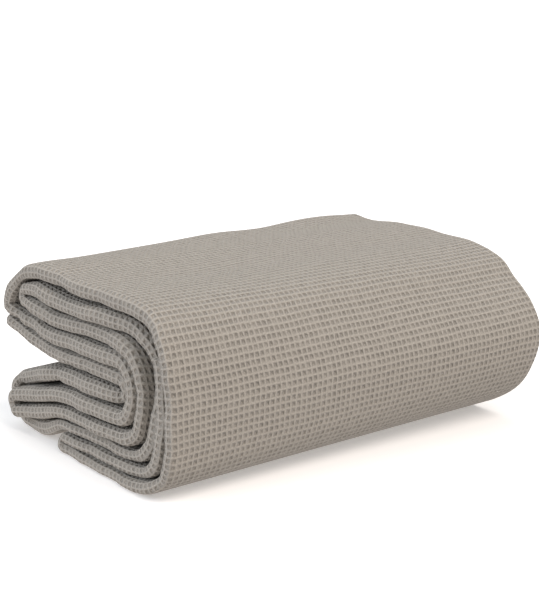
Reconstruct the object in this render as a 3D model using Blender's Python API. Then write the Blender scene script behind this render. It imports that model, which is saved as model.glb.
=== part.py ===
"""Folded waffle cotton bedspread: one cloth, folded in half twice to a strip of four
plies, and the strip folded back and forth into a bundle.

The bundle's long side runs along X, its folded front faces -Y and +Z is up.
"""
import math

import bmesh
import bpy
import numpy as np

MM = 0.001

# Bundle, mm
LENGTH = 455.0          # between the fold edge at the left end and the one at the right

# Cloth, mm
SHEET = 2.4             # thickness of the waffle cotton
PLIES = 4               # plies in the strip
STRAND_GAP = 0.9        # clear space between neighbouring strands of the strip
HALF_MAX = 8.8          # half the thickness of the strip where it lies loose
HALF_LEAST = 5.3        # half its thickness where its plies are pressed together
HEM_STEP = 3.5          # how far the inner hem stops short of the outer one
LEAST_TURN = 1.5        # path length over straight distance past which strands face

# Points round the folds of the plies
LEFT_OUTER_STEPS = 5
LEFT_INNER_STEPS = 3
RIGHT_STEPS = 3

# Colour of the cotton
GREIGE = (0.392, 0.366, 0.323, 1.0)
ROUGHNESS = 0.92

# Depths at which the heights of a pass are given, mm behind the front core
LEFT_DEPTHS = (80.0, 120.0, 160.0, 192.0)
RIGHT_DEPTHS = (66.0, 110.0, 155.0, 192.0)

# Passes of the strip, from the top: heights of the middle of the strip at the left
# end and at the right end, and how far its fold edge is set in at each end.
# pass: (left heights, right heights, left inset, right inset)
PASSES = {
    "t0": ((179.0, 179.0, 180.0, 180.0), (177.0, 177.5, 177.0, 175.5), 2.0, 4.0),
    "t1": ((159.5, 157.0, 156.5, 161.0), (163.0, 162.0, 161.0, 160.5), 0.0, 9.0),
    "c": ((141.0, 139.0, 135.0, 140.0), (147.0, 146.0, 144.0, 143.5), 3.0, 6.0),
    "b": ((122.0, 121.0, 118.5, 119.0), (129.5, 128.0, 124.5, 121.0), 1.0, 2.0),
    "a": ((103.5, 103.0, 102.0, 103.0), (112.0, 110.5, 107.5, 104.0), 4.0, 11.0),
    "e": ((84.5, 83.5, 81.5, 73.5), (91.0, 89.0, 85.0, 76.0), 2.0, 5.0),
    "f": ((65.0, 64.0, 60.5, 51.5), (72.5, 70.0, 65.0, 55.0), 0.0, 8.0),
    "g": ((46.5, 45.5, 43.0, 32.5), (54.0, 51.5, 46.0, 34.0), 1.0, 3.0),
    "h": ((30.5, 30.6, 29.8, 12.5), (34.0, 32.5, 30.5, 13.0), 6.0, 7.0),
    "i": ((17.7, 17.7), (18.0, 17.8), 3.0, 10.0),
    "j": ((5.5, 5.5), (5.5, 5.5), 0.0, 14.0),
}

# Turns at the front, from the inside out. Each is a rounded nose about the front core:
# its reach up, forward and down, and its squareness above and below the core.
LEFT_FRONT = (52.0, 94.0)
RIGHT_FRONT = (30.0, 102.0)
# turn: (steps, left (up, out, down, above, below), right (up, out, down, above, below))
FRONT_TURNS = {
    "ae": (6, (9.5, 10.0, 9.5, 2.0, 2.0), (10.5, 12.0, 10.5, 2.0, 2.0)),
    "bf": (7, (28.0, 27.0, 29.0, 2.2, 2.2), (28.5, 31.0, 29.5, 2.0, 2.0)),
    "cg": (8, (46.5, 42.0, 47.5, 2.3, 2.5), (45.5, 48.0, 48.0, 1.9, 2.0)),
    "t1h": (9, (64.5, 57.0, 64.0, 2.8, 2.8), (61.5, 64.0, 67.5, 1.75, 1.95)),
    "b2i": (9, (78.0, 74.0, 76.4, 3.3, 3.3), (62.0, 86.0, 84.0, 1.7, 1.95)),
    "t0j": (14, (85.0, 90.0, 88.5, 3.3, 3.3), (75.0, 108.0, 96.5, 1.58, 1.95)),
}
TAIL_ANGLE = 32.0       # where the outer end of the strip stops on the front, degrees

# Turns at the back: rounded noses, each about its own core and tilted about it.
# turn: (steps, core, shift of the core at the right end,
#        (up, out, down, above, below), tilt in degrees, left inset)
BACK_TURNS = {
    "tc": (6, (221.0, 149.5), (3.0, 2.0), (6.6, 7.0, 6.6, 2.0, 2.0), -15.0, 5.0),
    "bt0": (10, (205.0, 143.0), (3.0, 3.0), (33.0, 51.0, 21.0, 1.75, 1.25), -12.0, 4.0),
    "fg": (6, (241.0, 30.5), (4.0, 3.0), (9.0, 10.0, 9.0, 2.0, 2.0), -8.0, 1.0),
    "eh": (9, (239.0, 31.0), (4.0, 3.0), (25.5, 28.0, 24.0, 2.1, 2.1), -4.0, 14.0),
    "ij": (6, (150.0, 11.6), (0.0, 0.1), (6.1, 6.5, 6.1, 2.0, 2.0), 0.0, 2.0),
}

# Inner end of the strip, behind pass a: depth and height at the left and the right end
HEAD_LEFT = (243.0, 115.2)
HEAD_RIGHT = (246.0, 117.5)

# The way the strip runs, from its inner end to its outer end
ROUTE = (
    ("pass", "a", "forward"), ("front", "ae", "falling"), ("pass", "e", "backward"),
    ("back", "eh", "falling"), ("pass", "h", "forward"), ("front", "t1h", "rising"),
    ("pass", "t1", "backward"), ("back", "tc", "falling"), ("pass", "c", "forward"),
    ("front", "cg", "falling"), ("pass", "g", "backward"), ("back", "fg", "rising"),
    ("pass", "f", "forward"), ("front", "bf", "rising"), ("pass", "b", "backward"),
    ("back", "bt0", "rising"), ("pass", "t0", "forward"), ("front", "t0j", "falling"),
    ("pass", "j", "backward"), ("back", "ij", "rising"), ("pass", "i", "forward"),
    ("front", "b2i", "rising"),
)


def nose(core, reach, tilt, side, angles):
    """Points round a fold about its core, on the side given (-1 front, 1 back)."""
    up, out, down, above, below = reach
    lean = math.radians(tilt)
    points = []
    for angle in angles:
        across = math.cos(math.radians(angle))
        rise = math.sin(math.radians(angle))
        tall = up if rise >= 0.0 else down
        squareness = above if rise >= 0.0 else below
        power = abs(across / out) ** squareness + abs(rise / tall) ** squareness
        radius = power ** (-1.0 / squareness)
        level = radius * (across * math.cos(lean) - rise * math.sin(lean))
        height = radius * (across * math.sin(lean) + rise * math.cos(lean))
        points.append((core[0] + side * level, core[1] + height))
    return points


def turn_angles(steps, direction, top=90.0):
    """Angles of a turn, from its top down or from its bottom up."""
    angles = [top - (top + 90.0) * k / steps for k in range(steps + 1)]
    return angles if direction == "falling" else angles[::-1]


def route_points(end):
    """Middle line of the strip at one end of the bundle, with its insets."""
    left = end == "left"
    inset_at = 2 if left else 3
    points = [HEAD_LEFT if left else HEAD_RIGHT]
    insets = [PASSES["a"][inset_at]]
    for place, (kind, name, direction) in enumerate(ROUTE):
        if kind == "pass":
            heights = PASSES[name][0 if left else 1]
            depths = LEFT_DEPTHS if left else RIGHT_DEPTHS
            line = list(zip(depths, heights))
            if direction == "forward":
                line.reverse()
            line_insets = [PASSES[name][inset_at]] * len(line)
        elif kind == "front":
            steps, left_reach, right_reach = FRONT_TURNS[name]
            top = TAIL_ANGLE if name == "b2i" else 90.0
            angles = turn_angles(steps, direction, top)
            core = LEFT_FRONT if left else RIGHT_FRONT
            line = nose(core, left_reach if left else right_reach, 0.0, -1.0, angles)
            after = insets[-1]
            if place + 1 < len(ROUTE):
                after = PASSES[ROUTE[place + 1][1]][inset_at]
            line_insets = list(np.linspace(insets[-1], after, len(line)))
        else:
            steps, core, shift, reach, tilt, back_inset = BACK_TURNS[name]
            if not left:
                core = (core[0] + shift[0], core[1] + shift[1])
            line = nose(core, reach, tilt, 1.0, turn_angles(steps, direction))
            line_insets = [back_inset if left else insets[-1]] * len(line)
        points.extend(line)
        insets.extend(line_insets)
    insets = np.array(insets, float)
    for _ in range(3):
        insets[1:-1] = 0.25 * insets[:-2] + 0.5 * insets[1:-1] + 0.25 * insets[2:]
    return np.array(points), insets


def arc_lengths(points):
    """Distance along a line of points, from its start."""
    steps = np.linalg.norm(np.diff(points, axis=0), axis=1)
    return np.concatenate(([0.0], np.cumsum(steps)))


def normals(points):
    """Unit normal at each point, to the left of the way the line runs."""
    ahead = np.empty_like(points)
    steps = np.diff(points, axis=0)
    steps /= np.linalg.norm(steps, axis=1)[:, None]
    ahead[0] = steps[0]
    ahead[-1] = steps[-1]
    ahead[1:-1] = steps[:-1] + steps[1:]
    ahead /= np.linalg.norm(ahead, axis=1)[:, None]
    return np.column_stack((-ahead[:, 1], ahead[:, 0]))


def half_thickness(points):
    """Half the thickness of the strip at each point, filling the space it has above
    the ground and between its neighbours."""
    lengths = arc_lengths(points)
    fine = np.linspace(0.0, lengths[-1], 1600)
    dense = np.column_stack([np.interp(fine, lengths, points[:, k]) for k in (0, 1)])
    halves = []
    for point, length in zip(points, lengths):
        distance = np.linalg.norm(dense - point, axis=1)
        facing = np.abs(fine - length) > LEAST_TURN * distance + 1.0
        clear = distance[facing].min()
        halves.append(min(HALF_MAX, 0.5 * (clear - STRAND_GAP), point[1]))
    halves = np.array(halves)
    if halves.min() < HALF_LEAST:
        pinched = np.column_stack((points, halves))[halves < HALF_LEAST]
        raise ValueError(f"the strip is pinched at {pinched.round(2).tolist()}")
    return halves


def ply_line():
    """The cloth across the strip, from its outer hem round the plies to its inner hem.

    Each row is one point of the middle of the sheet: the end it is measured from, its
    height and its distance from that end in ply pitches, and the way its face looks.
    """
    rows = [("hem", -1.5, 0.0, -90.0), ("middle", -1.5, 0.0, -90.0)]
    for k in range(LEFT_OUTER_STEPS + 1):
        angle = -90.0 - 180.0 * k / LEFT_OUTER_STEPS
        rise = math.sin(math.radians(angle))
        run = math.cos(math.radians(angle))
        rows.append(("left", 1.5 * rise, 1.5 + 1.5 * run, angle))
    rows.append(("middle", 1.5, 0.0, 90.0))
    for k in range(RIGHT_STEPS + 1):
        angle = 90.0 - 180.0 * k / RIGHT_STEPS
        rise = math.sin(math.radians(angle))
        run = math.cos(math.radians(angle))
        rows.append(("right", 1.0 + 0.5 * rise, -0.5 + 0.5 * run, angle))
    for k in range(LEFT_INNER_STEPS + 1):
        angle = 90.0 + 180.0 * k / LEFT_INNER_STEPS
        rise = math.sin(math.radians(angle))
        run = math.cos(math.radians(angle))
        rows.append(("left", 0.5 * rise, 1.5 + 0.5 * run, angle + 180.0))
    rows.append(("inner hem", -0.5, 0.0, 90.0))
    return rows


def strip_surface():
    """Corner positions of the two faces of the cloth: face, station, point, axis."""
    left, left_inset = route_points("left")
    right, right_inset = route_points("right")
    left_normal = normals(left)
    right_normal = normals(right)
    left_pitch = (2.0 * half_thickness(left) - SHEET) / (PLIES - 1)
    right_pitch = (2.0 * half_thickness(right) - SHEET) / (PLIES - 1)
    start = -0.5 * LENGTH + left_inset
    finish = 0.5 * LENGTH - right_inset
    faces = []
    for offset in (0.5 * SHEET, -0.5 * SHEET):
        columns = []
        for anchor, rise, along, facing in ply_line():
            run = offset * math.cos(math.radians(facing))
            lift = offset * math.sin(math.radians(facing))
            if anchor == "left":
                x = start + 0.5 * SHEET + along * left_pitch + run
            elif anchor == "right":
                x = finish - 0.5 * SHEET + along * right_pitch + run
            elif anchor == "middle":
                x = 0.5 * (start + finish)
            elif anchor == "hem":
                x = finish
            else:
                x = finish - HEM_STEP
            share = (x + 0.5 * LENGTH) / LENGTH
            height = rise * (left_pitch + share * (right_pitch - left_pitch)) + lift
            share = share[:, None]
            centre = (1.0 - share) * left + share * right
            normal = (1.0 - share) * left_normal + share * right_normal
            normal /= np.linalg.norm(normal, axis=1)[:, None]
            place = centre + height[:, None] * normal
            columns.append(np.column_stack((x, place)))
        faces.append(np.stack(columns, axis=1))
    return np.stack(faces)


def build_cloth():
    """One closed body: both faces of the cloth, its hems and its two ends."""
    faces = strip_surface() * MM
    _, stations, columns, _ = faces.shape
    mesh = bmesh.new()
    grid = [[[mesh.verts.new(faces[f, s, c]) for c in range(columns)]
             for s in range(stations)] for f in range(2)]
    for s in range(stations - 1):
        for c in range(columns - 1):
            for f in range(2):
                ring = [grid[f][s][c], grid[f][s][c + 1],
                        grid[f][s + 1][c + 1], grid[f][s + 1][c]]
                mesh.faces.new(ring if f == 0 else ring[::-1])
        for c in (0, columns - 1):
            ring = [grid[0][s][c], grid[0][s + 1][c], grid[1][s + 1][c], grid[1][s][c]]
            mesh.faces.new(ring if c == 0 else ring[::-1])
    for s in (0, stations - 1):
        for c in range(columns - 1):
            ring = [grid[0][s][c], grid[1][s][c], grid[1][s][c + 1], grid[0][s][c + 1]]
            mesh.faces.new(ring if s == 0 else ring[::-1])
    bmesh.ops.triangulate(mesh, faces=mesh.faces[:])
    bmesh.ops.recalc_face_normals(mesh, faces=mesh.faces[:])
    corners = [vertex.co for vertex in mesh.verts]
    middle = [0.5 * (min(c[k] for c in corners) + max(c[k] for c in corners))
              for k in range(2)]
    lowest = min(c.z for c in corners)
    shift = (-middle[0], -middle[1], -lowest)
    bmesh.ops.translate(mesh, vec=shift, verts=mesh.verts[:])
    data = bpy.data.meshes.new("bedspread")
    mesh.to_mesh(data)
    mesh.free()
    return data


def waffle_cotton():
    """Matt greige cotton."""
    material = bpy.data.materials.new("waffle_cotton")
    material.use_nodes = True
    shader = material.node_tree.nodes["Principled BSDF"]
    shader.inputs["Base Color"].default_value = GREIGE
    shader.inputs["Roughness"].default_value = ROUGHNESS
    shader.inputs["Metallic"].default_value = 0.0
    return material


def main():
    for item in list(bpy.data.objects):
        bpy.data.objects.remove(item, do_unlink=True)
    data = build_cloth()
    data.materials.append(waffle_cotton())
    bedspread = bpy.data.objects.new("bedspread", data)
    bpy.context.scene.collection.objects.link(bedspread)


main()
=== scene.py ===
"""Folded waffle cotton bedspread: one thin cloth laid over the folds of its solid."""

import math

import bmesh
import bpy
import numpy as np
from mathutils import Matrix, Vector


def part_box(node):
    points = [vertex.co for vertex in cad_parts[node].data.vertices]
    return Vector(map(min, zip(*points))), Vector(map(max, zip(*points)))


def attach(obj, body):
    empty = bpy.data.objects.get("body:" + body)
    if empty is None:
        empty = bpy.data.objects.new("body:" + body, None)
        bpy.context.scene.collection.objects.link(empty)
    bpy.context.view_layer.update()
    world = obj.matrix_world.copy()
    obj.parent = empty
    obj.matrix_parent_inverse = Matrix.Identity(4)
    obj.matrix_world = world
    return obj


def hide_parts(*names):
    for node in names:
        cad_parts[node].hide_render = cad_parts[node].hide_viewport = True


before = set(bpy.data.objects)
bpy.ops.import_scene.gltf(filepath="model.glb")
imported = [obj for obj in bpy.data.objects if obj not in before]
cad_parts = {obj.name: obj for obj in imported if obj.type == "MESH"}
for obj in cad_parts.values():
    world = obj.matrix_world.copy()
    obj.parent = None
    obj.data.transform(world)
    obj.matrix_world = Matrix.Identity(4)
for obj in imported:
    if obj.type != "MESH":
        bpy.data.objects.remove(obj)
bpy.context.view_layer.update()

MM = 0.001

# Bundle, mm
LENGTH = 455.0          # between the fold edge at the left end and the one at the right

# Cloth, mm
SHEET = 2.4             # how thick the waffle stands
PLIES = 4               # plies in the strip
CELL = (5.85, 7.1)      # one waffle cell, ridge to ridge, across and along the strip
HEM_TUCK = 11.0         # width of the hem turned under at the edges of the cloth
HEM_STEP = 3.5          # how far the inner hem stops short of the outer one

# Distance of the plies from the middle of the strip, in pitches from ply to ply
OUTER_RISE = 0.5 * (PLIES - 1)
INNER_RISE = 0.5

# Strip, mm
STRAND_GAP = 0.9        # clear space between neighbouring strands of the strip
HALF_MAX = 8.8          # half the thickness of the strip where it lies loose
HALF_LEAST = 5.0        # half its thickness where its plies are pressed together
LEAST_TURN = 1.5        # path length over straight distance past which strands face
OWN_STRETCH = 1.0       # path length within which the line never faces itself
LINE_SAMPLES = 3000     # points of the line among which a facing strand is sought
ROW_STEP = 7.0          # spacing of the mesh rows along the strip
TURN_FINENESS = 3       # mesh rows for each step of a turn

# Times that values are drawn towards their neighbours' mean
PASS_SMOOTHINGS = 8     # line of the passes
HALF_SMOOTHINGS = 3     # half thickness
INSET_SMOOTHINGS = 12   # insets of the fold edges
WRAP_SMOOTHINGS = 30    # share of the outer wrap

# Stretches that show as the outside of the bundle, where the cells keep their size
OUTER_WRAP = ("t0", "t0j", "j", "bt0")

# Depths at which the heights of a pass are given, mm, on the scale of the cores
LEFT_DEPTHS = (80.0, 120.0, 160.0, 192.0)
RIGHT_DEPTHS = (66.0, 110.0, 155.0, 192.0)

# Passes of the strip, from the top: heights of its middle at the left end and at the
# right end, and how far its fold edge is set in at each end
PASSES = {
    "t0": ((179.0, 179.0, 180.0, 180.0), (177.0, 177.5, 177.0, 175.5), 2.0, 4.0),
    "t1": ((159.5, 157.0, 156.5, 161.0), (163.0, 162.0, 161.0, 160.5), 0.0, 9.0),
    "c": ((141.0, 139.0, 135.0, 140.0), (147.0, 146.0, 144.0, 143.5), 3.0, 6.0),
    "b": ((122.0, 121.0, 118.5, 119.0), (129.5, 128.0, 124.5, 121.0), 1.0, 2.0),
    "a": ((103.5, 103.0, 102.0, 103.0), (112.0, 110.5, 107.5, 104.0), 4.0, 11.0),
    "e": ((84.5, 83.5, 81.5, 73.5), (91.0, 89.0, 85.0, 76.0), 2.0, 5.0),
    "f": ((65.0, 64.0, 60.5, 51.5), (72.5, 70.0, 65.0, 55.0), 0.0, 8.0),
    "g": ((46.5, 45.5, 43.0, 32.5), (54.0, 51.5, 46.0, 34.0), 1.0, 3.0),
    "h": ((30.5, 30.6, 29.8, 12.5), (34.0, 32.5, 30.5, 13.0), 6.0, 7.0),
    "i": ((17.7, 17.7), (18.0, 17.8), 3.0, 10.0),
    "j": ((5.5, 5.5), (5.5, 5.5), 0.0, 14.0),
}

# Turns at the front, rounded noses about the front core: steps, then for the left and
# the right end the reach up, forward and down and the squareness above and below
LEFT_FRONT = (52.0, 94.0)
RIGHT_FRONT = (30.0, 102.0)
FRONT_TURNS = {
    "ae": (6, (9.5, 10.0, 9.5, 2.0, 2.0), (10.5, 12.0, 10.5, 2.0, 2.0)),
    "bf": (7, (28.0, 27.0, 29.0, 2.2, 2.2), (28.5, 31.0, 29.5, 2.0, 2.0)),
    "cg": (8, (46.5, 42.0, 47.5, 2.3, 2.5), (45.5, 48.0, 48.0, 1.9, 2.0)),
    "t1h": (9, (64.5, 57.0, 64.0, 2.8, 2.8), (61.5, 64.0, 67.5, 1.75, 1.95)),
    "b2i": (9, (78.0, 74.0, 76.4, 3.3, 3.3), (62.0, 86.0, 84.0, 1.7, 1.95)),
    "t0j": (14, (85.0, 90.0, 88.5, 3.3, 3.3), (75.0, 108.0, 96.5, 1.58, 1.95)),
}
TAIL_ANGLE = 32.0       # where the outer end of the strip stops on the front, degrees
EDGE_SQUARENESS = 2.7   # of the folded edge at the left, where strands press together

# Waves of the folded edge and of the strip's thickness along the strip: length, height,
# phase in radians
EDGE_WAVES = ((167.0, 1.3, 0.4), (83.0, 0.9, 2.1), (41.0, 0.45, 4.0), (19.0, 0.25, 1.0))
RIGHT_SHARE = 0.3       # of those waves, at the smoother right end
THICKNESS_WAVES = ((121.0, 0.35, 1.2), (53.0, 0.25, 3.3))

# Hollows and creases of the folded edge at the left: stretch of the strip, share of the
# way along it, half length along the strip, how far the edge sinks, how much of the
# thickness is pressed out
CREASES = (
    ("t1h", 0.62, 62.0, 11.0, 0.0), ("ae", 0.5, 24.0, 2.5, 0.0), ("eh", 0.2, 8.0, 2.5, 0.3),
    ("fg", 0.35, 5.0, 1.5, 0.15), ("ae", 0.82, 7.0, 2.5, 0.25), ("bt0", 0.3, 8.0, 4.0, 0.35),
    ("ij", 0.7, 6.0, 3.0, 0.3), ("e", 0.7, 9.0, 1.5, 0.2), ("t0", 0.45, 16.0, 2.0, 0.25),
    ("cg", 0.8, 9.0, 1.5, 0.15), ("t0j", 0.75, 10.0, 1.5, 0.12), ("a", 0.7, 8.0, 1.5, 0.2),
)
CREASE_REACH = 42.0     # how far the creases run in from the folded edge

# Soft hollows of the top: place along the bundle and its depth, half lengths along
# each, how far the cloth sinks
SAGS = (
    (232.0, 225.0, 48.0, 70.0, 5.0), (78.0, 225.0, 42.0, 45.0, 2.4),
    (-95.0, 70.0, 60.0, 55.0, 2.0), (150.0, 40.0, 70.0, 40.0, 1.6),
    (-205.0, 205.0, 30.0, 40.0, -1.6), (10.0, 215.0, 40.0, 40.0, -1.0),
)
SAG_FOOT = 95.0         # height from which the hollows fade in
SAG_HEAD = 180.0        # height at which they are full
SAG_MOST = 1.1          # share of the sinking that they reach above that height

# Turns at the back: steps, core, shift of the core at the right end, reach and
# squareness, tilt in degrees, left inset
BACK_TURNS = {
    "tc": (6, (221.0, 149.5), (3.0, 2.0), (6.6, 7.0, 6.6, 2.0, 2.0), -15.0, 5.0),
    "bt0": (10, (205.0, 143.0), (3.0, 3.0), (33.0, 51.0, 21.0, 1.75, 1.25), -12.0, 4.0),
    "fg": (6, (241.0, 30.5), (4.0, 3.0), (9.0, 10.0, 9.0, 2.0, 2.0), -8.0, 1.0),
    "eh": (9, (239.0, 31.0), (4.0, 3.0), (25.5, 28.0, 24.0, 2.1, 2.1), -4.0, 14.0),
    "ij": (6, (150.0, 11.6), (0.0, 0.1), (6.1, 6.5, 6.1, 2.0, 2.0), 0.0, 2.0),
}

# Inner end of the strip, behind pass a
HEAD_LEFT = (259.0, 116.0)
HEAD_RIGHT = (246.0, 117.5)

# The way the strip runs, from its inner end to its outer end
ROUTE = (
    ("pass", "a", "forward"), ("front", "ae", "falling"), ("pass", "e", "backward"),
    ("back", "eh", "falling"), ("pass", "h", "forward"), ("front", "t1h", "rising"),
    ("pass", "t1", "backward"), ("back", "tc", "falling"), ("pass", "c", "forward"),
    ("front", "cg", "falling"), ("pass", "g", "backward"), ("back", "fg", "rising"),
    ("pass", "f", "forward"), ("front", "bf", "rising"), ("pass", "b", "backward"),
    ("back", "bt0", "rising"), ("pass", "t0", "forward"), ("front", "t0j", "falling"),
    ("pass", "j", "backward"), ("back", "ij", "rising"), ("pass", "i", "forward"),
    ("front", "b2i", "rising"),
)

# Columns of the mesh across each ply, and points round its folds
OUTER_COLUMNS = 50
INNER_COLUMNS = 14
LEFT_OUTER_STEPS = 12
LEFT_INNER_STEPS = 6
RIGHT_STEPS = 6
HEM_STEPS = 4

# Weave: scales are to the metre of cloth
DRIFT_SCALE = 14.0
DRIFT = 0.0022          # how far the rows wander, m
CORNER_BLEND = 0.12     # rounding where two ridges meet, in cells
RIDGE_FOOT = 0.02       # where a cell's side starts to rise, in cells from its middle
RIDGE_TOP = 0.44        # where it is full
SLACK_SCALE = 110.0
SLACK_FILL = 0.35       # how far the shallowest cells are filled
YARN_SCALE = 620.0
YARN_RELIEF = 0.04      # of a cell's depth
YARN_TONES = (0.85, 1.12)
NOISE_SPAN = (0.3, 0.7)     # between these lies most of a noise
CELL_DEPTH = 0.0030     # relief of a cell, m

# Colours
RIDGE_HEX = "#A6A199"
# Painted shade: the pits' colour, darker than the ridges', stands in for the shadow that falls
# deep in each cell
PIT_PAINTED_SHADE_HEX = "#958F86"
FLOOR_HEX = "#FBFBFB"
BELOW_LIGHT = (0.94, 0.87, 0.83, 1.0)
ABOVE_LIGHT = (0.44, 0.44, 0.44, 1.0)
FLOOR_GLOW = 0.23       # the lit board's own share of light, as of a light table
FLOOR_HALF = 60.0       # half the side of the floor, m
HORIZON_BLEND = 0.1     # height over which the light from below turns to that from above

# Suns, aimed at the middle: strength, colour, where each comes from, width in degrees
SUNS = {
    "overhead": (0.5, (0.985, 1.0, 1.01), (0.0, 0.8, 3.0), 65.0),
    "warm_front": (2.05, (1.0, 0.90, 0.82), (0.35, -1.7, 2.0), 36.0),
    "cool_left": (1.3, (0.88, 0.93, 1.02), (-2.5, 0.9, 1.4), 50.0),
}

# Camera: sensor and lens in mm, place in metres, turn in degrees
SENSOR = 36.0
LENS = 86.33
CAMERA_PLACE = (-0.928, -1.165, 0.520)
CAMERA_TURN = (75.269, 0.0, -38.549)


def linear(code):
    """An sRGB hex colour as linear light, with full alpha."""
    parts = [int(code[k:k + 2], 16) / 255.0 for k in (1, 3, 5)]
    parts = [p / 12.92 if p <= 0.04045 else ((p + 0.055) / 1.055) ** 2.4 for p in parts]
    return (*parts, 1.0)


# ---- the line of the strip ----

def nose(core, reach, tilt, side, angles):
    """Points round a fold about its core, on the side given (-1 front, 1 back)."""
    up, out, down, above, below = reach
    lean = math.radians(tilt)
    points = []
    for angle in angles:
        across = math.cos(math.radians(angle))
        rise = math.sin(math.radians(angle))
        tall = up if rise >= 0.0 else down
        squareness = above if rise >= 0.0 else below
        power = abs(across / out) ** squareness + abs(rise / tall) ** squareness
        radius = power ** (-1.0 / squareness)
        level = radius * (across * math.cos(lean) - rise * math.sin(lean))
        height = radius * (across * math.sin(lean) + rise * math.cos(lean))
        points.append((core[0] + side * level, core[1] + height))
    return points


def turn_angles(steps, direction, top=90.0):
    """Angles of a turn, from its top down or from its bottom up."""
    steps *= TURN_FINENESS
    angles = [top - (top + 90.0) * k / steps for k in range(steps + 1)]
    return angles if direction == "falling" else angles[::-1]


def route_points(end):
    """Middle line of the strip at one end: points, insets, loose flags, stretch names."""
    left = end == "left"
    inset_at = 2 if left else 3
    points = [HEAD_LEFT if left else HEAD_RIGHT]
    insets = [PASSES["a"][inset_at]]
    loose = [False]
    names = ["a"]
    for place, (kind, name, direction) in enumerate(ROUTE):
        if kind == "pass":
            heights = PASSES[name][0 if left else 1]
            depths = LEFT_DEPTHS if left else RIGHT_DEPTHS
            line = list(zip(depths, heights))
            if direction == "forward":
                line.reverse()
            line_insets = [PASSES[name][inset_at]] * len(line)
        elif kind == "front":
            steps, left_reach, right_reach = FRONT_TURNS[name]
            top = TAIL_ANGLE if name == "b2i" else 90.0
            angles = turn_angles(steps, direction, top)
            core = LEFT_FRONT if left else RIGHT_FRONT
            line = nose(core, left_reach if left else right_reach, 0.0, -1.0, angles)
            after = insets[-1]
            if place + 1 < len(ROUTE):
                after = PASSES[ROUTE[place + 1][1]][inset_at]
            line_insets = np.linspace(insets[-1], after, len(line))
        else:
            steps, core, shift, reach, tilt, back_inset = BACK_TURNS[name]
            if not left:
                core = (core[0] + shift[0], core[1] + shift[1])
            line = nose(core, reach, tilt, 1.0, turn_angles(steps, direction))
            line_insets = [back_inset if left else insets[-1]] * len(line)
        points.extend(line)
        insets.extend(line_insets)
        loose.extend([kind == "pass"] * len(line))
        names.extend([name] * len(line))
    return np.array(points), np.array(insets, float), np.array(loose), names


def refined(points, values, counts):
    """A line and the values along it, with each of its stretches cut into so many."""
    spots = [k + m / n for k, n in enumerate(counts) for m in range(n)]
    spots = np.array(spots + [len(counts)])
    index = np.arange(len(points))
    line = np.column_stack([np.interp(spots, index, points[:, k]) for k in (0, 1)])
    return line, [np.interp(spots, index, v) for v in values]


def eased(values, times, free=None):
    """Values with each one drawn towards the mean of its neighbours, so many times."""
    values = np.array(values, float)
    for _ in range(times):
        mean = 0.25 * values[:-2] + 0.5 * values[1:-1] + 0.25 * values[2:]
        if free is None:
            values[1:-1] = mean
        else:
            values[1:-1][free[1:-1]] = mean[free[1:-1]]
    return values


def arc_lengths(points):
    """Distance along a line of points, from its start."""
    steps = np.linalg.norm(np.diff(points, axis=0), axis=1)
    return np.concatenate(([0.0], np.cumsum(steps)))


def normals(points):
    """Unit normal at each point, to the left of the way the line runs."""
    ahead = np.empty_like(points)
    steps = np.diff(points, axis=0)
    steps /= np.linalg.norm(steps, axis=1)[:, None]
    ahead[0] = steps[0]
    ahead[-1] = steps[-1]
    ahead[1:-1] = steps[:-1] + steps[1:]
    ahead /= np.linalg.norm(ahead, axis=1)[:, None]
    return np.column_stack((-ahead[:, 1], ahead[:, 0]))


def half_thickness(points):
    """Half the thickness of the strip at each point, filling the space it has."""
    lengths = arc_lengths(points)
    fine = np.linspace(0.0, lengths[-1], LINE_SAMPLES)
    dense = np.column_stack([np.interp(fine, lengths, points[:, k]) for k in (0, 1)])
    halves = []
    for point, length in zip(points, lengths):
        distance = np.linalg.norm(dense - point, axis=1)
        facing = np.abs(fine - length) > LEAST_TURN * distance + OWN_STRETCH
        clear = distance[facing].min()
        halves.append(min(HALF_MAX, 0.5 * (clear - STRAND_GAP), point[1]))
    return np.maximum(eased(halves, HALF_SMOOTHINGS), HALF_LEAST)


def wave(lengths, waves):
    """A gently uneven value along the strip, the sum of its waves."""
    return sum(height * np.sin(2.0 * math.pi * lengths / length + phase)
               for length, height, phase in waves)


def creases(run, names, starts):
    """How far the folded edge sinks along the strip, and the share pressed out of it."""
    sunk = np.zeros(len(run))
    pressed = np.zeros(len(run))
    for name, share, half_length, depth, squeeze in CREASES:
        first = starts[names.index(name)]
        last = starts[len(names) - 1 - names[::-1].index(name)]
        place = run[first] + share * (run[last] - run[first])
        bell = np.exp(-((run - place) / half_length) ** 2)
        sunk += depth * bell
        pressed += squeeze * bell
    return sunk, pressed


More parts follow.
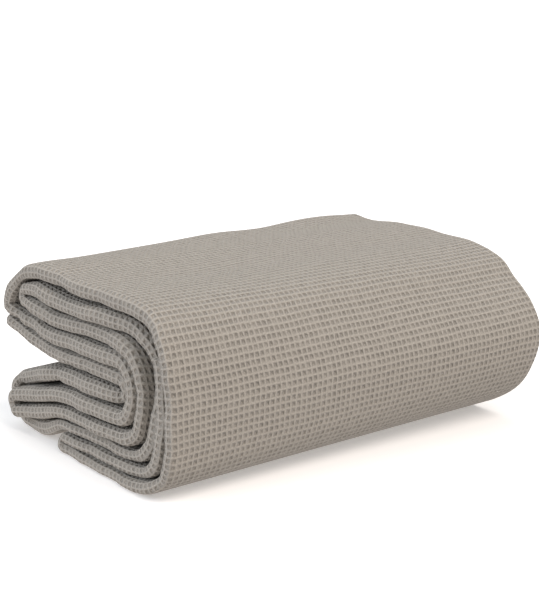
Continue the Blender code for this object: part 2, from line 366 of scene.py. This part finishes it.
class Strip:
    """Both ends of the strip, row for row: middle line, normal, inset and pitch."""

    def __init__(self):
        ends = [route_points(end) for end in ("left", "right")]
        spans = [np.linalg.norm(np.diff(e[0], axis=0), axis=1) for e in ends]
        counts = np.ceil(np.maximum(*spans) / ROW_STEP).astype(int)
        counts = np.maximum(counts, 1)
        self.lines, self.normals, self.insets, self.pitches, self.arcs = [], [], [], [], []
        for points, insets, loose, names in ends:
            line, (inset, free) = refined(points, (insets, loose), counts)
            line = eased(line, PASS_SMOOTHINGS, free > 0.0)
            self.lines.append(line)
            self.normals.append(normals(line))
            run = arc_lengths(line)
            starts = np.concatenate(([0], np.cumsum(counts)))
            sunk, pressed = creases(run, names, starts)
            inset = eased(inset, INSET_SMOOTHINGS)
            if not self.insets:
                self.pressed = pressed
                self.insets.append(inset + sunk + wave(run, EDGE_WAVES))
            else:
                self.insets.append(inset + RIGHT_SHARE * wave(run, EDGE_WAVES))
            half = half_thickness(line)
            slack = wave(run, THICKNESS_WAVES)
            half -= slack - slack.min()
            self.pitches.append((2.0 * half - SHEET) / (PLIES - 1))
            wrapped = [float(name in OUTER_WRAP) for name in names]
            wrapped = refined(points, (wrapped,), counts)[1][0]
            outward = half * eased(wrapped, WRAP_SMOOTHINGS)
            outside = line - outward[:, None] * self.normals[-1]
            self.arcs.append(arc_lengths(outside))
        first = [k for k, name in enumerate(ends[0][3]) if name == "t0"][1]
        self.reference = int(np.sum(counts[:first]))
        self.rows = len(self.lines[0])


def ply_columns():
    """The cloth across the strip, from its outer hem round the plies to its inner hem.

    Each is one column of the mesh: what its place along the bundle is measured from,
    its share of the way or its distance in pitches, its rise in pitches, and the way
    its outer face looks, in degrees.
    """
    columns = []

    def hem(edge, rise, inward, outward, opening):
        """The edge of the cloth turned under, its raw edge hidden behind."""
        rows = [(edge, -HEM_TUCK, rise, inward), (edge, -0.5 * HEM_TUCK, rise, inward)]
        for k in range(HEM_STEPS + 1):
            angle = inward + (outward - inward) * k / HEM_STEPS
            rows.append((edge, -0.5 * SHEET, rise, angle))
        return rows if opening else rows[::-1]

    columns += hem("outer hem", -OUTER_RISE, 90.0, -90.0, True)
    for k in range(1, OUTER_COLUMNS):
        columns.append(("outer run", 1.0 - k / OUTER_COLUMNS, -OUTER_RISE, -90.0))
    for k in range(LEFT_OUTER_STEPS + 1):
        angle = -90.0 - 180.0 * k / LEFT_OUTER_STEPS
        rise = math.sin(math.radians(angle))
        run = math.cos(math.radians(angle))
        reach = (abs(rise) ** EDGE_SQUARENESS + abs(run) ** EDGE_SQUARENESS)
        reach **= -1.0 / EDGE_SQUARENESS
        along = OUTER_RISE + OUTER_RISE * reach * run
        columns.append(("left", along, OUTER_RISE * reach * rise, angle))
    for k in range(1, OUTER_COLUMNS // 2):
        columns.append(("fold run", 2.0 * k / OUTER_COLUMNS, OUTER_RISE, 90.0))
    for k in range(RIGHT_STEPS + 1):
        angle = 90.0 - 180.0 * k / RIGHT_STEPS
        rise = math.sin(math.radians(angle))
        run = math.cos(math.radians(angle))
        along = -INNER_RISE + INNER_RISE * run
        columns.append(("right", along, 1.0 + INNER_RISE * rise, angle))
    for k in range(1, INNER_COLUMNS):
        columns.append(("inner run", 1.0 - k / INNER_COLUMNS, INNER_RISE, -90.0))
    for k in range(LEFT_INNER_STEPS + 1):
        angle = 90.0 + 180.0 * k / LEFT_INNER_STEPS
        rise = math.sin(math.radians(angle))
        run = math.cos(math.radians(angle))
        along = OUTER_RISE + INNER_RISE * run
        columns.append(("left", along, INNER_RISE * rise, angle + 180.0))
    for k in range(1, INNER_COLUMNS):
        columns.append(("inner hem run", k / INNER_COLUMNS, -INNER_RISE, 90.0))
    columns += hem("inner hem", -INNER_RISE, -90.0, 90.0, False)
    return columns


def ends_turned_under(places, flat, lifts):
    """The grid of points with a narrow hem turned under at each end of the strip."""
    first, last = [], []
    for rows, end, step in ((first, 0, 1), (last, -1, -1)):
        ahead = places[end] - places[end + step]
        ahead /= np.linalg.norm(ahead, axis=1)[:, None]
        middle = places[end] - lifts[end]
        for k in range(1, HEM_STEPS + 1):
            angle = math.pi * k / HEM_STEPS
            offset = math.cos(angle) * lifts[end] + 0.5 * SHEET * math.sin(angle) * ahead
            rows.append((middle + offset, 0.5 * SHEET * angle))
        rows.append((middle - lifts[end] - HEM_TUCK * ahead, HEM_TUCK))
    top = [place for place, _ in reversed(first)]
    tail = [place for place, _ in last]
    start = [flat[0] - (0.0, length) for _, length in reversed(first)]
    finish = [flat[-1] + (0.0, length) for _, length in last]
    places = np.concatenate((top, places, tail))
    flat = np.concatenate((start, flat, finish))
    return places, flat


def cloth_points(strip):
    """Where each point of the cloth lies, and its place on the flat cloth, in mm."""
    start = -0.5 * LENGTH + strip.insets[0]
    finish = 0.5 * LENGTH - strip.insets[1]
    left_pitch, right_pitch = strip.pitches
    arcs = [arc - arc[strip.reference] for arc in strip.arcs]
    left_edge = start + 0.5 * SHEET + OUTER_RISE * left_pitch
    places = []
    lengths = []
    lifts = []
    for anchor, along, rise, facing in ply_columns():
        run = 0.5 * SHEET * math.cos(math.radians(facing))
        lift = 0.5 * SHEET * math.sin(math.radians(facing))
        if anchor == "left":
            x = start + 0.5 * SHEET + along * left_pitch + run
        elif anchor == "right":
            x = finish - 0.5 * SHEET + along * right_pitch + run
        elif anchor == "outer run":
            x = left_edge + along * (finish - 0.5 * SHEET - left_edge)
        elif anchor in ("fold run", "inner run"):
            x = left_edge + along * (finish - 0.5 * SHEET - 0.5 * right_pitch - left_edge)
        elif anchor == "inner hem run":
            x = left_edge + along * (finish - HEM_STEP - 0.5 * SHEET - left_edge)
        elif anchor == "outer hem":
            x = finish + along + run
        else:
            x = finish - HEM_STEP + along + run
        share = (x + 0.5 * LENGTH) / LENGTH
        near = np.exp(-(np.maximum(x - start, 0.0) / CREASE_REACH) ** 2)
        pitch = left_pitch + share * (right_pitch - left_pitch)
        height = rise * pitch * (1.0 - strip.pressed * near) + lift
        lengths.append((1.0 - share) * arcs[0] + share * arcs[1])
        share = share[:, None]
        centre = (1.0 - share) * strip.lines[0] + share * strip.lines[1]
        normal = (1.0 - share) * strip.normals[0] + share * strip.normals[1]
        normal /= np.linalg.norm(normal, axis=1)[:, None]
        place = centre + height[:, None] * normal
        strength = (place[:, 1] - SAG_FOOT) / (SAG_HEAD - SAG_FOOT)
        strength = np.clip(strength, 0.0, SAG_MOST)
        for along_x, depth, half_x, half_y, sag in SAGS:
            spread = ((x - along_x) / half_x) ** 2 + ((place[:, 0] - depth) / half_y) ** 2
            place[:, 1] -= sag * strength * np.exp(-spread)
        places.append(np.column_stack((x, place)))
        lifts.append(np.column_stack((np.full(strip.rows, run), lift * normal)))
    places = np.stack(places, axis=1)
    across = np.linalg.norm(np.diff(places, axis=1), axis=2)
    across = np.concatenate((np.zeros((strip.rows, 1)), np.cumsum(across, axis=1)), axis=1)
    flat = np.stack((across, np.stack(lengths, axis=1)), axis=2)
    places, flat = ends_turned_under(places, flat, np.stack(lifts, axis=1))
    fold = HEM_STEPS + 2 + OUTER_COLUMNS + LEFT_OUTER_STEPS // 2
    flat[:, :, 0] -= flat[:, fold:fold + 1, 0]
    return places, flat


def make_cloth():
    """The bedspread: one grid of cloth, laid round the folds."""
    strip = Strip()
    places, flat = cloth_points(strip)
    low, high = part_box("bedspread")
    middle = 0.5 * (places.max(axis=(0, 1)) + places.min(axis=(0, 1)))
    target = np.array([0.5 * (low[k] + high[k]) / MM for k in range(3)])
    shift = target - middle
    shift[2] = -places[:, :, 2].min()
    places = (places + shift) * MM
    rows, columns = places.shape[:2]
    mesh = bmesh.new()
    bmesh.ops.create_grid(mesh, x_segments=columns - 1, y_segments=rows - 1, size=0.5)
    layer = mesh.loops.layers.uv.new("flat_cloth")
    spot = {}
    for vertex in mesh.verts:
        column = round((vertex.co.x + 0.5) * (columns - 1))
        row = round((vertex.co.y + 0.5) * (rows - 1))
        spot[vertex] = (row, column)
    for vertex, (row, column) in spot.items():
        vertex.co = places[row, column]
    for face in mesh.faces:
        face.smooth = True
        for loop in face.loops:
            loop[layer].uv = flat[spot[loop.vert]] * MM
    data = bpy.data.meshes.new("bedspread_cloth")
    mesh.to_mesh(data)
    mesh.free()
    cloth = bpy.data.objects.new("bedspread_cloth", data)
    bpy.context.scene.collection.objects.link(cloth)
    return cloth


# ---- materials ----

def add(tree, kind, settings=None, values=None, links=None):
    """One node with its settings, its input values and what feeds its inputs."""
    node = tree.nodes.new(kind)
    for name, value in (settings or {}).items():
        setattr(node, name, value)
    for name, value in (values or {}).items():
        node.inputs[name].default_value = value
    for name, source in (links or {}).items():
        tree.links.new(source, node.inputs[name])
    return node


def waffle_cotton():
    """Unbleached cotton woven in a waffle: thin light ridges round soft pits darkened by painted
    shade.
    """
    material = bpy.data.materials.new("waffle_cotton_greige")
    material.use_nodes = True
    tree = material.node_tree
    shader = tree.nodes["Principled BSDF"]
    uv = add(tree, "ShaderNodeUVMap", {"uv_map": "flat_cloth"})
    # The rows wander a little, as hand-laid cloth does
    drift = add(tree, "ShaderNodeTexNoise", {"noise_dimensions": "2D"},
                {"Scale": DRIFT_SCALE, "Detail": 1.0}, {"Vector": uv.outputs[0]})
    centred = add(tree, "ShaderNodeVectorMath", {"operation": "SUBTRACT"},
                  {1: (0.5, 0.5, 0.5)}, {0: drift.outputs["Color"]})
    offset = add(tree, "ShaderNodeVectorMath", {"operation": "SCALE"},
                 {"Scale": DRIFT}, {0: centred.outputs[0]})
    place = add(tree, "ShaderNodeVectorMath", {"operation": "ADD"}, None,
                {0: uv.outputs[0], 1: offset.outputs[0]})
    # Place within a cell, and how far it is from the cell's middle
    cells = add(tree, "ShaderNodeVectorMath", {"operation": "MULTIPLY"},
                {1: (1.0 / (CELL[0] * MM), 1.0 / (CELL[1] * MM), 0.0)}, {0: place.outputs[0]})
    within = add(tree, "ShaderNodeVectorMath", {"operation": "FRACTION"}, None,
                 {0: cells.outputs[0]})
    about = add(tree, "ShaderNodeVectorMath", {"operation": "SUBTRACT"},
                {1: (0.5, 0.5, 0.5)}, {0: within.outputs[0]})
    away = add(tree, "ShaderNodeVectorMath", {"operation": "ABSOLUTE"}, None,
               {0: about.outputs[0]})
    parts = add(tree, "ShaderNodeSeparateXYZ", None, None, {0: away.outputs[0]})
    edge = add(tree, "ShaderNodeMath", {"operation": "SMOOTH_MAX"}, {2: CORNER_BLEND},
               {0: parts.outputs[0], 1: parts.outputs[1]})
    ridge = add(tree, "ShaderNodeMapRange", {"interpolation_type": "SMOOTHSTEP"},
                {"From Min": RIDGE_FOOT, "From Max": RIDGE_TOP}, {"Value": edge.outputs[0]})
    # Some cells are shallower than others
    slack = add(tree, "ShaderNodeTexNoise", {"noise_dimensions": "2D"},
                {"Scale": SLACK_SCALE, "Detail": 1.0}, {"Vector": uv.outputs[0]})
    fill = add(tree, "ShaderNodeMapRange", None,
               {"From Min": NOISE_SPAN[0], "From Max": NOISE_SPAN[1],
                "To Min": 0.0, "To Max": SLACK_FILL},
               {"Value": slack.outputs["Fac"]})
    relief = add(tree, "ShaderNodeMix", {"data_type": "FLOAT"}, {3: 1.0},
                 {0: fill.outputs[0], 2: ridge.outputs[0]})
    # Yarn, as fine unevenness of height and tone about 2 mm across
    yarn = add(tree, "ShaderNodeTexNoise", {"noise_dimensions": "2D"},
               {"Scale": YARN_SCALE, "Detail": 2.0, "Roughness": 0.6}, {"Vector": uv.outputs[0]})
    height = add(tree, "ShaderNodeMath", {"operation": "MULTIPLY_ADD"}, {1: YARN_RELIEF},
                 {0: yarn.outputs["Fac"], 2: relief.outputs[0]})
    # Painted shade: the colour turns from the ridges' towards the darker pit colour as the cell
    # deepens, standing in for the shadow in each pit
    pit_shaded_tone = add(tree, "ShaderNodeMix", {"data_type": "RGBA"},
               {6: linear(PIT_PAINTED_SHADE_HEX), 7: linear(RIDGE_HEX)}, {0: relief.outputs[0]})
    mottle = add(tree, "ShaderNodeMapRange", None,
                 {"From Min": NOISE_SPAN[0], "From Max": NOISE_SPAN[1],
                  "To Min": YARN_TONES[0], "To Max": YARN_TONES[1]},
                 {"Value": yarn.outputs["Fac"]})
    colour = add(tree, "ShaderNodeVectorMath", {"operation": "SCALE"}, None,
                 {0: pit_shaded_tone.outputs[2], "Scale": mottle.outputs[0]})
    tree.links.new(colour.outputs[0], shader.inputs["Base Color"])
    bump = add(tree, "ShaderNodeBump", None, {"Strength": 1.0, "Distance": CELL_DEPTH},
               {"Height": height.outputs[0]})
    tree.links.new(bump.outputs[0], shader.inputs["Normal"])
    shader.inputs["Roughness"].default_value = 0.92
    shader.inputs["Specular IOR Level"].default_value = 0.25
    shader.inputs["Sheen Weight"].default_value = 0.15
    shader.inputs["Sheen Roughness"].default_value = 0.5
    return material


def white_board():
    """Matt white studio board for the floor."""
    material = bpy.data.materials.new("matt_white_board")
    material.use_nodes = True
    shader = material.node_tree.nodes["Principled BSDF"]
    shader.inputs["Base Color"].default_value = linear(FLOOR_HEX)
    shader.inputs["Roughness"].default_value = 0.9
    shader.inputs["Specular IOR Level"].default_value = 0.1
    shader.inputs["Emission Color"].default_value = (1.0, 1.0, 1.0, 1.0)
    shader.inputs["Emission Strength"].default_value = FLOOR_GLOW
    return material


# ---- studio ----

def make_floor():
    """A wide white floor under the bundle."""
    mesh = bmesh.new()
    bmesh.ops.create_grid(mesh, x_segments=2, y_segments=2, size=FLOOR_HALF)
    data = bpy.data.meshes.new("studio_floor")
    mesh.to_mesh(data)
    mesh.free()
    floor = bpy.data.objects.new("studio_floor", data)
    bpy.context.scene.collection.objects.link(floor)
    data.materials.append(white_board())
    # The board throws no light back up at the cloth, so the cells keep their shadows
    floor.visible_diffuse = False


def add_sun(name, strength, colour, location, width):
    """One soft studio light, aimed at the middle of the floor."""
    lamp = bpy.data.lights.new(name, "SUN")
    lamp.energy = strength
    lamp.color = colour
    lamp.angle = math.radians(width)
    light = bpy.data.objects.new(name, lamp)
    bpy.context.scene.collection.objects.link(light)
    light.location = location
    x, y, z = location
    heading = math.atan2(-y, -x) - math.pi / 2
    light.rotation_euler = (math.atan2(math.hypot(x, y), z), 0.0, heading)


def make_light():
    """Soft light from above and from the left, and warmer light on the front."""
    world = bpy.data.worlds.new("studio")
    bpy.context.scene.world = world
    world.use_nodes = True
    tree = world.node_tree
    sky = tree.nodes["Background"]
    # Warm light from below, less of it from above, and plain white past the floor
    way = add(tree, "ShaderNodeTexCoord")
    parts = add(tree, "ShaderNodeSeparateXYZ", None, None, {0: way.outputs["Generated"]})
    height = add(tree, "ShaderNodeMapRange", None,
                 {"From Min": -HORIZON_BLEND, "From Max": HORIZON_BLEND},
                 {"Value": parts.outputs[2]})
    level = add(tree, "ShaderNodeMix", {"data_type": "RGBA"},
                {6: BELOW_LIGHT, 7: ABOVE_LIGHT}, {0: height.outputs[0]})
    path = add(tree, "ShaderNodeLightPath")
    shown = add(tree, "ShaderNodeMix", {"data_type": "RGBA"}, {7: (1.0, 1.0, 1.0, 1.0)},
                {0: path.outputs["Is Camera Ray"], 6: level.outputs[2]})
    tree.links.new(shown.outputs[2], sky.inputs["Color"])
    for name, sun in SUNS.items():
        add_sun(name, *sun)


def make_camera():
    """The photograph's view of the bundle."""
    lens = bpy.data.cameras.new("camera")
    lens.sensor_width = SENSOR
    lens.lens = LENS
    camera = bpy.data.objects.new("camera", lens)
    bpy.context.scene.collection.objects.link(camera)
    camera.location = CAMERA_PLACE
    camera.rotation_euler = [math.radians(turn) for turn in CAMERA_TURN]
    bpy.context.scene.camera = camera


make_camera()
cloth = make_cloth()
cloth.data.materials.append(waffle_cotton())
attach(cloth, "root")
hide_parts("bedspread")
make_floor()
make_light()
bpy.context.scene.view_settings.view_transform = "Standard"
